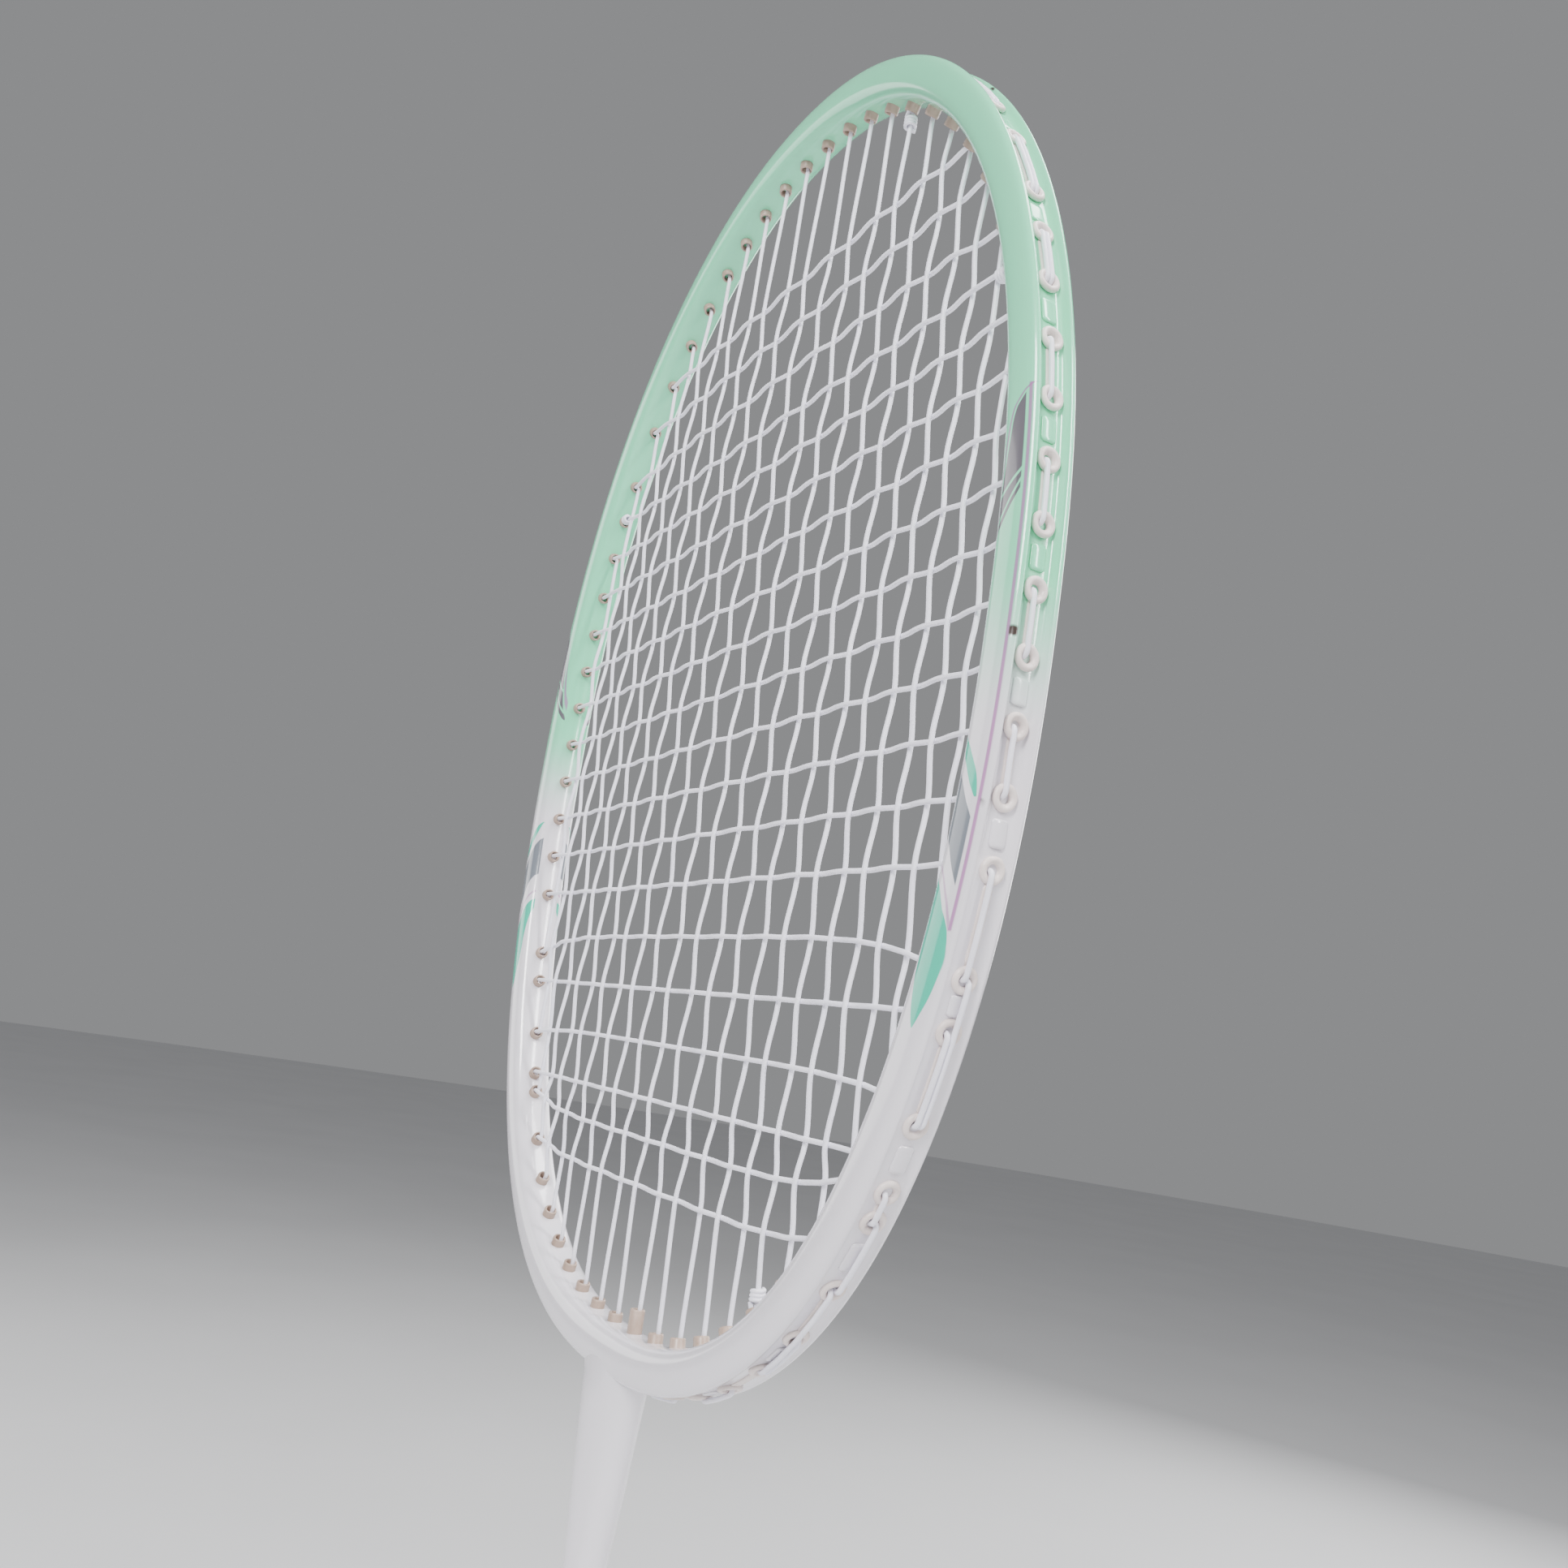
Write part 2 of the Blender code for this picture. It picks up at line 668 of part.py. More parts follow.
hollow_loft("shaft_cone", cone_outer, cone_inner, "cone_plastic")

cap_sections = (
    (0.0, 0.90),
    (0.8 * MM, 0.96),
    (3.0 * MM, 1.0),
    (CAP_HEIGHT - 2.5 * MM, 1.0),
    (CAP_HEIGHT, 0.975),
)
cap_rings = [octagon_ring(height, CAP_WIDTH * s, CAP_DEPTH * s) for height, s in cap_sections]
add_object("butt_cap", *skin(cap_rings), "cap_plastic")
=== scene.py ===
"""Looks of a badminton racket: mint-to-white lacquered frame, woven strings, wrapped grip."""

import math

import bmesh
import bpy
from mathutils import Matrix, Vector


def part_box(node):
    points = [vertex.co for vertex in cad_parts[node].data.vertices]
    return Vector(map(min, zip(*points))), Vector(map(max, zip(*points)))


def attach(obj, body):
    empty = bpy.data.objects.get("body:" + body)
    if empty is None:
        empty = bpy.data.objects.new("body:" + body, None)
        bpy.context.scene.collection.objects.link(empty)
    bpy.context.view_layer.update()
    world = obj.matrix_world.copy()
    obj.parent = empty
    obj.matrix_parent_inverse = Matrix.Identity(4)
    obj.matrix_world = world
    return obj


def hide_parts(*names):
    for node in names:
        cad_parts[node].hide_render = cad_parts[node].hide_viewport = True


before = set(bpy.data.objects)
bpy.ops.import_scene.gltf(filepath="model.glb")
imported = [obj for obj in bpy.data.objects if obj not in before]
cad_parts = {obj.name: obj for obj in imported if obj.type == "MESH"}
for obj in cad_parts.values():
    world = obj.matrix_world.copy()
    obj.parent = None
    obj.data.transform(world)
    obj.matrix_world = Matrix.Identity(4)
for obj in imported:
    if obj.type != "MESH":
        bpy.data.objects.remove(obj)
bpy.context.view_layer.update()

MM = 0.001

# ---------------------------------------------------------------- sizes, most from the CAD nodes
HOOP_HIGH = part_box("head_frame")[1]
SHAFT_LOW, SHAFT_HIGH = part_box("shaft")
CONE_LOW, CONE_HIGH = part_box("shaft_cone")
GRIP_LOW, GRIP_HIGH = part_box("grip_wrap")
BAND_LOW, BAND_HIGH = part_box("finishing_band")
CAP_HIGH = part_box("butt_cap")[1]

TUBE_HALF = 3.9 * MM
HEAD_LENGTH = 260 * MM
HALF_WIDTH = HOOP_HIGH.x - TUBE_HALF
HALF_LENGTH = HEAD_LENGTH / 2 - TUBE_HALF
HEAD_CENTRE = HOOP_HIGH.z - HEAD_LENGTH / 2
HEAD_FOOT = HEAD_CENTRE - HALF_LENGTH
HOOP_POWER = 2.24
HOOP_POWER_SKEW = 0.147
HOOP_STATIONS = 360
GROOVE_DEPTH = 1.8 * MM
GROOVE_FADE_TOP = -22 * MM
GROOVE_FADE_END = -42 * MM
GROOVE_LEFT = 0.22

MAIN_COUNT = 22
MAIN_PITCH = 9.21 * MM
MAIN_PITCH_LOSS = 0.2725 * MM
CROSS_GAPS = [10.8 * MM] * 3 + [9.7 * MM] * 10 + [10.6 * MM] * 4 + [7.4 * MM, 8.6 * MM]
CROSS_COUNT = len(CROSS_GAPS) + 1
FIRST_CROSS_ABOVE_CENTRE = 90.4 * MM
SHARE_DISTANCE = 4.2 * MM
TIE_MAIN_TOP = 16
TIE_MAIN_FOOT = 17
TIE_CROSS = 4

STRING_RADIUS = 0.43 * MM
STRING_SIDES = 10
WEAVE_HEIGHT = 0.43 * MM
WEAVE_STEPS = 6
BESIDE = 0.44 * MM
PASSING = 0.95 * MM

RING_RADIUS = 2.1 * MM
RING_HEIGHT = 1.0 * MM
BORE_RADIUS = 0.92 * MM
BARREL_RADIUS = 1.38 * MM
TIP_LEVEL = -5.5 * MM
LONG_BARREL = ("foot", 12)
LONG_BARREL_EXTRA = 2.6 * MM

KNOT_TURNS = 3
KNOT_STEPS = 14
KNOT_RADIUS = 0.92 * MM
KNOT_HEIGHT = 1.9 * MM
KNOT_STRING_RADIUS = 0.37 * MM
BEND_RADIUS = 1.1 * MM

# The handle's cross-section is an octagon; a higher softness number gives sharper corners.
OCTAGON_SOFTNESS = 16
CAP_SOFTNESS = 26
HANDLE_SIDES = 128
GRIP_ROWS = 220
TAPE_PITCH = 24 * MM
OVERLAP_SHARE = 0.16
OVERLAP_HEIGHT = 0.55 * MM


# ---------------------------------------------------------------- mesh helpers
def make_piece(name, points, faces, material, replaces=()):
    """A smooth mesh piece that rides on the racket and stands for some CAD nodes."""
    mesh = bpy.data.meshes.new(name)
    mesh.from_pydata([tuple(point) for point in points], [], faces)
    work = bmesh.new()
    work.from_mesh(mesh)
    bmesh.ops.recalc_face_normals(work, faces=work.faces)
    work.to_mesh(mesh)
    work.free()
    mesh.shade_smooth()
    mesh.materials.append(material)
    piece = bpy.data.objects.new(name, mesh)
    bpy.context.scene.collection.objects.link(piece)
    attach(piece, "root")
    if replaces:
        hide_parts(*replaces)
    return piece


def skin(rings, loop=False):
    """Points and faces that join equal rings, one after the other."""
    count = len(rings[0])
    points = [point for ring in rings for point in ring]
    faces = []
    last = len(rings) if loop else len(rings) - 1
    for row in range(last):
        here = row * count
        there = ((row + 1) % len(rings)) * count
        for side in range(count):
            after = (side + 1) % count
            faces.append((here + side, here + after, there + after, there + side))
    if not loop:
        faces.append(tuple(range(count)))
        faces.append(tuple(range(len(points) - count, len(points))))
    return points, faces


def sweep(path, radius, sides):
    """Rings of a round tube along a path, with mitred bends."""
    first = (path[1] - path[0]).normalized()
    side = Vector((0, 1, 0)) if abs(first.y) < 0.8 else Vector((0, 0, 1))
    side = (side - first * side.dot(first)).normalized()
    other = first.cross(side)
    offsets = []
    for step in range(sides):
        turn = 2 * math.pi * step / sides
        offsets.append((side * math.cos(turn) + other * math.sin(turn)) * radius)
    rings = [[path[0] + offset for offset in offsets]]
    for index in range(1, len(path)):
        arriving = (path[index] - path[index - 1]).normalized()
        leaving = arriving
        if index < len(path) - 1:
            leaving = (path[index + 1] - path[index]).normalized()
        plane = (arriving + leaving).normalized()
        mitred = [off - arriving * (off.dot(plane) / arriving.dot(plane)) for off in offsets]
        rings.append([path[index] + off for off in mitred])
        offsets = [(off - leaving * off.dot(leaving)).normalized() * radius for off in mitred]
    return rings


def join_parts(parts):
    """One list of points and one of faces from several of each."""
    points, faces = [], []
    for more_points, more_faces in parts:
        shift = len(points)
        points += more_points
        faces += [tuple(index + shift for index in face) for face in more_faces]
    return points, faces


def set_attribute(piece, name, values):
    """Store one number for each point of a piece, for its material to read."""
    attribute = piece.data.attributes.new(name, "FLOAT", "POINT")
    attribute.data.foreach_set("value", values)


def subdivide(piece, levels):
    step = piece.modifiers.new("smooth", "SUBSURF")
    step.levels = levels
    step.render_levels = levels


def smooth_step(value, low, high):
    share = min(1.0, max(0.0, (value - low) / (high - low)))
    return share * share * (3 - 2 * share)


# ---------------------------------------------------------------- node helpers
class Nodes:
    """Short calls that add nodes to one material."""

    def __init__(self, name):
        self.material = bpy.data.materials.new(name)
        self.material.use_nodes = True
        self.tree = self.material.node_tree
        self.shader = self.tree.nodes["Principled BSDF"]

    def add(self, kind, **settings):
        node = self.tree.nodes.new(kind)
        for key, value in settings.items():
            setattr(node, key, value)
        return node

    def put(self, value, socket):
        if isinstance(value, bpy.types.NodeSocket):
            self.tree.links.new(value, socket)
        else:
            socket.default_value = value

    def maths(self, operation, first, second=0.0, clamp=False):
        node = self.add("ShaderNodeMath", operation=operation, use_clamp=clamp)
        self.put(first, node.inputs[0])
        self.put(second, node.inputs[1])
        return node.outputs[0]

    def place(self):
        """X, Y and Z in millimetres."""
        node = self.add("ShaderNodeSeparateXYZ")
        self.put(self.add("ShaderNodeTexCoord").outputs["Object"], node.inputs[0])
        return [self.maths("MULTIPLY", output, 1000.0) for output in node.outputs]

    def attribute(self, name):
        return self.add("ShaderNodeAttribute", attribute_name=name).outputs["Fac"]

    def below(self, value, limit, soft):
        """1 where value is under limit, 0 where it is over, with a narrow soft edge."""
        gap = self.maths("SUBTRACT", limit, value)
        return self.maths("ADD", self.maths("DIVIDE", gap, soft), 0.5, clamp=True)

    def above(self, value, limit, soft):
        return self.below(limit, value, soft)

    def both(self, *masks):
        result = masks[0]
        for mask in masks[1:]:
            result = self.maths("MULTIPLY", result, mask)
        return result

    def mix(self, share, under, over):
        node = self.add("ShaderNodeMix", data_type="RGBA")
        self.put(share, node.inputs["Factor"])
        self.put(under, node.inputs[6])
        self.put(over, node.inputs[7])
        return node.outputs[2]

    def ramp(self, value, low, high, first=0.0, last=1.0, smooth=False):
        kind = "SMOOTHSTEP" if smooth else "LINEAR"
        node = self.add("ShaderNodeMapRange", interpolation_type=kind)
        for index, number in enumerate((value, low, high, first, last)):
            self.put(number, node.inputs[index])
        return node.outputs[0]

    def bend(self, value, points):
        """A smooth curve through a few (value, result) points."""
        low, high = points[0][0], points[-1][0]
        node = self.add("ShaderNodeFloatCurve")
        curve = node.mapping.curves[0]
        node.mapping.use_clip = False
        for index, (at, result) in enumerate(points):
            where = (at - low) / (high - low)
            if index == 0:
                curve.points[0].location = (where, result)
            elif index == len(points) - 1:
                curve.points[len(curve.points) - 1].location = (where, result)
            else:
                curve.points.new(where, result)
        node.mapping.update()
        self.put(self.ramp(value, low, high), node.inputs["Value"])
        return node.outputs[0]

    def noise(self, scale, detail=3.0, roughness=0.5):
        node = self.add("ShaderNodeTexNoise")
        self.put(self.add("ShaderNodeTexCoord").outputs["Object"], node.inputs["Vector"])
        node.inputs["Scale"].default_value = scale
        node.inputs["Detail"].default_value = detail
        node.inputs["Roughness"].default_value = roughness
        return node.outputs["Fac"]

    def bump(self, height, distance, strength=1.0):
        node = self.add("ShaderNodeBump")
        node.inputs["Strength"].default_value = strength
        node.inputs["Distance"].default_value = distance
        self.put(height, node.inputs["Height"])
        self.put(node.outputs[0], self.shader.inputs["Normal"])

    def set(self, **values):
        for key, value in values.items():
            self.put(value, self.shader.inputs[key.replace("_", " ")])


MINT = (0.20, 0.74, 0.44, 1)
MINT_SHADE = (0.17, 0.65, 0.38, 1)
WHITE = (0.74, 0.71, 0.76, 1)
MAUVE_GREY = (0.12, 0.11, 0.13, 1)
SILVER = (0.17, 0.19, 0.22, 1)
MAGENTA = (0.36, 0.09, 0.33, 1)
TEAL = (0.03, 0.50, 0.34, 1)
CHIP = (0.05, 0.035, 0.03, 1)


def lacquer():
    """Mint lacquer that fades to white, with the side decals and a few chips."""
    n = Nodes("frame_lacquer")
    _, y, z = n.place()
    z = n.maths("SUBTRACT", z, HEAD_CENTRE / MM)
    depth = n.maths("ABSOLUTE", y)
    level = n.maths("MULTIPLY", n.attribute("level"), 1000.0)
    across = n.maths("DIVIDE", n.maths("SUBTRACT", 3.6, level), 6.8)
    face = n.both(n.above(depth, 2.9, 0.12), n.below(level, 3.84, 0.05))

    fade = n.ramp(z, 4.0, -22.0, smooth=True)
    drift = n.ramp(n.noise(14.0), 0.35, 0.65)
    mint = n.mix(n.maths("MULTIPLY", drift, 0.5), MINT, MINT_SHADE)
    colour = n.mix(fade, mint, WHITE)

    # Upper leaf: grey, outlined in magenta, cut by two swooshes of the ground colour
    edge_points = [(5.8, 1.15), (13.8, 0.92), (22.1, 0.73), (26.3, 0.60), (28.8, 0.36), (31.0, 0.0)]
    edge = n.bend(z, edge_points)
    inside = n.both(face, n.above(z, 5.8, 0.2), n.below(z, 31.0, 0.2))
    from_edge = n.maths("ABSOLUTE", n.maths("SUBTRACT", across, edge))
    outline = n.both(inside, n.below(from_edge, 0.035, 0.02))
    first_cut = n.maths("SUBTRACT", z, n.ramp(across, 0.17, 0.93, 17.3, 13.0))
    second_cut = n.maths("SUBTRACT", z, n.ramp(across, 0.17, 1.0, 15.8, 8.0))
    third_cut = n.maths("SUBTRACT", z, n.ramp(across, 0.17, 1.1, 14.2, 5.0))
    within = n.both(
        inside,
        n.above(across, 0.19, 0.02),
        n.below(across, n.maths("SUBTRACT", edge, 0.09), 0.02),
    )
    leaf = n.both(within, n.above(first_cut, 0.25, 0.12))
    leaf_two = n.both(within, n.below(first_cut, -0.35, 0.12), n.above(second_cut, 0.2, 0.12))
    leaf_three = n.both(within, n.below(second_cut, -0.5, 0.12), n.above(third_cut, 0.1, 0.12))
    greys = n.maths("MAXIMUM", leaf, n.maths("MAXIMUM", leaf_two, leaf_three))
    colour = n.mix(greys, colour, MAUVE_GREY)
    colour = n.mix(n.maths("MULTIPLY", outline, 0.75), colour, MAGENTA)

    # Lower leaf: teal sliver over a silver wedge
    sliver_in = n.bend(z, [(-31.0, 0.22), (-28.0, 0.52), (-24.0, 0.86), (-21.0, 1.02)])
    sliver_out = n.bend(z, [(-31.0, 0.16), (-28.0, 0.26), (-24.0, 0.62), (-21.0, 1.0)])
    sliver = n.both(
        face,
        n.above(z, -31.0, 0.15),
        n.below(z, -21.0, 0.15),
        n.below(across, sliver_in, 0.02),
        n.above(across, sliver_out, 0.02),
    )
    wedge_top = n.bend(z, [(-34.0, 0.18), (-31.5, 0.42), (-27.5, 0.80), (-24.5, 1.1)])
    wedge_low = n.bend(z, [(-44.0, 0.14), (-40.0, 0.50), (-36.0, 0.86), (-33.0, 1.2)])
    wedge = n.both(
        face,
        n.above(z, -44.0, 0.15),
        n.below(z, -24.5, 0.15),
        n.above(across, 0.20, 0.02),
        n.maths("MAXIMUM", n.above(across, wedge_top, 0.02), n.below(z, -34.0, 0.1)),
        n.maths("MAXIMUM", n.below(across, wedge_low, 0.02), n.above(z, -33.0, 0.1)),
    )
    colour = n.mix(sliver, colour, TEAL)
    colour = n.mix(wedge, colour, SILVER)

    # Magenta line along the lip down to the point of a V, and the V's inner stroke
    line = n.both(
        face,
        n.above(across, 0.045, 0.02),
        n.below(across, 0.125, 0.02),
        n.above(z, -49.5, 0.3),
        n.below(z, 31.0, 0.3),
    )
    stroke_at = n.bend(z, [(-49.5, 0.09), (-44.5, 0.42), (-38.5, 1.05)])
    stroke = n.both(
        face,
        n.above(z, -49.5, 0.2),
        n.below(z, -38.5, 0.2),
        n.below(n.maths("ABSOLUTE", n.maths("SUBTRACT", across, stroke_at)), 0.035, 0.02),
    )
    lines = n.maths("MAXIMUM", line, n.maths("MULTIPLY", stroke, 0.7))
    colour = n.mix(n.maths("MULTIPLY", lines, 0.8), colour, MAGENTA)

    # Teal wedge below the V
    green_in = n.bend(z, [(-63.0, 0.34), (-56.0, 0.74), (-48.0, 0.90), (-40.5, 1.12)])
    green_out_points = [(-63.0, 0.32), (-56.0, 0.06), (-52.0, 0.05), (-46.0, 0.46), (-40.5, 1.05)]
    green_out = n.bend(z, green_out_points)
    green = n.both(
        face,
        n.above(z, -63.0, 0.2),
        n.below(z, -40.5, 0.2),
        n.below(across, green_in, 0.02),
        n.above(across, green_out, 0.02),
    )
    colour = n.mix(green, colour, TEAL)

    # Chips along the lip
    cells = n.add("ShaderNodeTexVoronoi", feature="F1")
    n.put(n.add("ShaderNodeTexCoord").outputs["Object"], cells.inputs["Vector"])
    cells.inputs["Scale"].default_value = 160.0
    near_lip = n.both(n.above(level, 3.2, 0.2), n.above(depth, 2.7, 0.2))
    patches = n.above(n.noise(60.0), 0.57, 0.03)
    chips = n.both(n.below(cells.outputs["Distance"], 0.16, 0.05), near_lip, patches)
    colour = n.mix(chips, colour, CHIP)

    grain = n.noise(900.0, detail=2.0)
    n.set(Base_Color=colour, Roughness=n.ramp(grain, 0.3, 0.7, 0.13, 0.22))
    n.set(Coat_Weight=0.6, Coat_Roughness=0.06)
    n.bump(n.maths("SUBTRACT", n.maths("MULTIPLY", n.noise(220.0), 0.3), chips), 0.00006, 0.5)
    return n.material


def simple_material(name, colour, shade, roughness, scale, depth, **more):
    """A material with gentle variation in colour, roughness and surface."""
    n = Nodes(name)
    drift = n.noise(scale, detail=4.0)
    n.set(Base_Color=n.mix(n.ramp(drift, 0.3, 0.7), colour, shade))
    n.set(Roughness=n.ramp(n.noise(scale * 6), 0.3, 0.7, roughness * 0.85, roughness * 1.2))
    n.set(**more)
    n.bump(n.noise(scale * 8, detail=5.0), depth, 0.6)
    return n.material


LACQUER = lacquer()
STRING = simple_material(
    "string_nylon", (0.86, 0.85, 0.93, 1), (0.78, 0.77, 0.86, 1), 0.34, 120.0, 0.00003
)
def grommet_nylon():
    """Off-white nylon, with painted shade in darker brown at the barrels' inner ends."""
    n = Nodes("grommet_nylon")
    level = n.maths("MULTIPLY", n.attribute("level"), 1000.0)
    drift = n.ramp(n.noise(260.0, detail=4.0), 0.3, 0.7)
    colour = n.mix(drift, (0.80, 0.71, 0.68, 1), (0.66, 0.57, 0.54, 1))
    # Painted shade: the barrels' inner ends are mixed to a darker brown.
    inner_end_shade = n.mix(drift, (0.44, 0.33, 0.27, 1), (0.32, 0.23, 0.18, 1))
    colour = n.mix(n.below(level, -3.5, 0.8), colour, inner_end_shade)
    n.set(Base_Color=colour, Roughness=n.ramp(n.noise(900.0), 0.3, 0.7, 0.3, 0.42))
    n.bump(n.noise(1500.0, detail=4.0), 0.00003, 0.6)
    return n.material


NYLON = grommet_nylon()
CARBON = simple_material(
    "carbon", (0.030, 0.030, 0.033, 1), (0.055, 0.055, 0.06, 1), 0.42, 300.0, 0.00003
)


# ---------------------------------------------------------------- hoop line
def hoop_point(angle):
    """Point on the hoop's centre line, at an angle about the head centre."""
    power = HOOP_POWER - HOOP_POWER_SKEW * math.sin(angle)
    across = abs(math.cos(angle)) / HALF_WIDTH
    along = abs(math.sin(angle)) / HALF_LENGTH
    radius = (across**power + along**power) ** (-1 / power)
    return Vector((radius * math.cos(angle), 0, HEAD_CENTRE + radius * math.sin(angle)))


def hoop_tangent(angle):
    step = 1e-4
    return (hoop_point(angle + step) - hoop_point(angle - step)).normalized()


def hoop_outward(angle):
    tangent = hoop_tangent(angle)
    return Vector((tangent.z, 0, -tangent.x))


def tip_point(angle):
    """Middle of a grommet's inner mouth."""
    return hoop_point(angle) + hoop_outward(angle) * TIP_LEVEL


def solve(measure, low, high, target):
    """Angle between low and high at which a steadily changing measure meets its target."""
    rising = measure(high) > measure(low)
    for _ in range(50):
        middle = (low + high) / 2
        if (measure(middle) < target) == rising:
            low = middle
        else:
            high = middle
    return (low + high) / 2


def groove_floor(point):
    """Level of the groove's floor: deep round the top, nearly flush round the foot."""
    share = smooth_step(point.z - HEAD_CENTRE, GROOVE_FADE_END, GROOVE_FADE_TOP)
    return TUBE_HALF - GROOVE_DEPTH * (GROOVE_LEFT + (1 - GROOVE_LEFT) * share)


# ---------------------------------------------------------------- hoop and throat
def hoop_section(floor):
    """Outline of the tube with its groove, as outward level and Y, in millimetres."""
    low = floor / MM
    half = [
        (low, 1.5),
        (low + 0.04, 2.05),
        (low + 0.35 * (3.72 - low), 2.45),
        (3.70, 2.92),
        (3.86, 3.12),
        (3.74, 3.50),
        (3.25, 4.08),
        (2.20, 4.48),
        (0.80, 4.66),
        (-0.90, 4.66),
        (-2.15, 4.42),
        (-3.10, 3.75),
        (-3.66, 2.55),
        (-3.88, 1.25),
    ]
    mirrored = [(level, -y) for level, y in reversed(half)]
    return [(low, 0.0)] + half + [(-3.92, 0.0)] + mirrored


def make_hoop():
    rings = []
    levels = []
    for station in range(HOOP_STATIONS):
        angle = 2 * math.pi * station / HOOP_STATIONS
        centre = hoop_point(angle)
        outward = hoop_outward(angle)
        section = hoop_section(groove_floor(centre))
        ring = []
        for level, y in section:
            ring.append(centre + outward * level * MM + Vector((0, y * MM, 0)))
        rings.append(ring)
        levels += [level * MM for level, _ in section]
    points, faces = skin(rings, loop=True)
    hoop = make_piece("head_hoop", points, faces, LACQUER, ["head_frame"])
    set_attribute(hoop, "level", levels)
    subdivide(hoop, 1)


def ellipse_ring(height, half_x, half_y, sides=64):
    ring = []
    for side in range(sides):
        turn = 2 * math.pi * side / sides
        ring.append(Vector((half_x * math.cos(turn), half_y * math.sin(turn), height)))
    return ring


def make_throat():
    """Moulded fairing: flush with the hoop's faces and filleted into its outer side."""
    sections = [
        (1.0, 15.5, 4.50),
        (-1.5, 14.0, 4.62),
        (-3.2, 12.0, 4.72),
        (-4.2, 10.6, 4.80),
        (-5.4, 9.7, 4.92),
        (-7.2, 9.0, 5.05),
        (-10.0, 8.35, 5.05),
        (-16.0, 7.3, 4.85),
        (-24.0, 6.2, 4.65),
        (-31.0, 4.95, 4.2),
        (-37.0, 3.9, 3.75),
        (-43.0, 3.60, 3.60),
        (-49.9, 3.58, 3.58),
    ]
    rings = [ellipse_ring(HEAD_FOOT + z * MM, x * MM, y * MM) for z, x, y in sections]
    points, faces = skin(rings)
    throat = make_piece("throat", points, faces, LACQUER, ())
    set_attribute(throat, "level", [0.0] * len(points))
    subdivide(throat, 1)


make_hoop()
make_throat()


# ---------------------------------------------------------------- string holes
def main_x(number):
    """Place across the head of a main string, numbered from the left."""
    middle = (MAIN_COUNT + 1) / 2
    steps = int(abs(number - middle))
    distance = MAIN_PITCH * (steps + 0.5) - MAIN_PITCH_LOSS * steps * (steps + 1) / 2
    return math.copysign(distance, number - middle)


def cross_z(number):
    """Height of a cross string, numbered from the top."""
    return HEAD_CENTRE + FIRST_CROSS_ABOVE_CENTRE - sum(CROSS_GAPS[: number - 1])


def make_hole(angle):
    centre = hoop_point(angle)
    return {
        "angle": angle,
        "outward": hoop_outward(angle),
        "tip": tip_point(angle),
        "floor": groove_floor(centre),
    }


def at_level(hole, level):
    return hole["tip"] + hole["outward"] * (level - TIP_LEVEL)


holes = {}
for number in range(1, MAIN_COUNT + 1):
    top_angle = solve(lambda a: tip_point(a).x, 0.02, math.pi - 0.02, main_x(number))
    foot_angle = solve(lambda a: tip_point(a).x, 0.02 - math.pi, -0.02, main_x(number))
    holes["top", number] = make_hole(top_angle)
    holes["foot", number] = make_hole(foot_angle)

main_holes = list(holes)
for number in range(1, CROSS_COUNT + 1):
    angle = solve(lambda a: tip_point(a).z, -1.5, 1.5, cross_z(number))
    own = make_hole(angle)
    end, main = min(main_holes, key=lambda key: (holes[key]["tip"] - own["tip"]).length)
    if (holes[end, main]["tip"] - own["tip"]).length < SHARE_DISTANCE:
        holes["right", number] = holes[end, main]
        holes["left", number] = holes[end, MAIN_COUNT + 1 - main]
    else:
        holes["right", number] = own
        holes["left", number] = make_hole(math.pi - angle)

hole_ring = []
for hole in sorted(holes.values(), key=lambda h: (h["angle"] + math.pi / 2) % (2 * math.pi)):
    if hole not in hole_ring:
        hole_ring.append(hole)
THROAT_HOLES = [holes["foot", 11], holes["foot", 12]]


# ---------------------------------------------------------------- strings
def run_level(hole):
    """Level of a string's middle where it lies along the groove."""
    return hole["floor"] + PASSING


def turn_between(start, finish):
    """Angle about the head centre from one hole to another, the short way round."""
    return (finish["angle"] - start["angle"] + math.pi) % (2 * math.pi) - math.pi


def run_between(start, finish, y):
    """A string's way along the groove between two holes, over the rings between them."""
    if start in THROAT_HOLES and finish in THROAT_HOLES:
        middle = (at_level(start, -1 * MM) + at_level(finish, -1 * MM)) / 2
        return [middle + Vector((0, y, 0))]
    points = []
    swing = turn_between(start, finish)
    steps = max(2, int(abs(swing) / math.radians(2.0)))
    for step in range(1, steps):
        share = step / steps
        angle = start["angle"] + swing * share
        centre = hoop_point(angle)
        level = groove_floor(centre) + PASSING
        points.append(centre + hoop_outward(angle) * level + Vector((0, y, 0)))
    return points


def rounded(points, radius):
    """The same path with each sharp corner turned into a short curve."""
    result = [points[0]]
    for before, here, after in zip(points, points[1:], points[2:]):
        back, ahead = before - here, after - here
        bend = back.angle(ahead)
        if bend > math.radians(160):
            result.append(here)
            continue
        reach = min(radius, 0.42 * back.length, 0.42 * ahead.length)
        first = here + back.normalized() * reach
        last = here + ahead.normalized() * reach
        for step in range(5):
            share = step / 4
            inner = first.lerp(here, share)
            result.append(inner.lerp(here.lerp(last, share), share))
    return result + [points[-1]]


def wave(start, finish, crossings):
    """A string's way across the bed: it swings to one side at each crossing and back between."""
    points = [start]
    stops = [(start, 0.0)] + crossings + [(finish, 0.0)]
    for (here, side), (there, next_side) in zip(stops, stops[1:]):
        for step in range(1, WEAVE_STEPS + 1):
            share = step / WEAVE_STEPS
            swing = 0.5 - 0.5 * math.cos(math.pi * share)
            y = (side + (next_side - side) * swing) * WEAVE_HEIGHT
            level = here.lerp(there, share)
            points.append(Vector((level.x, level.y + y, level.z)))
    return points


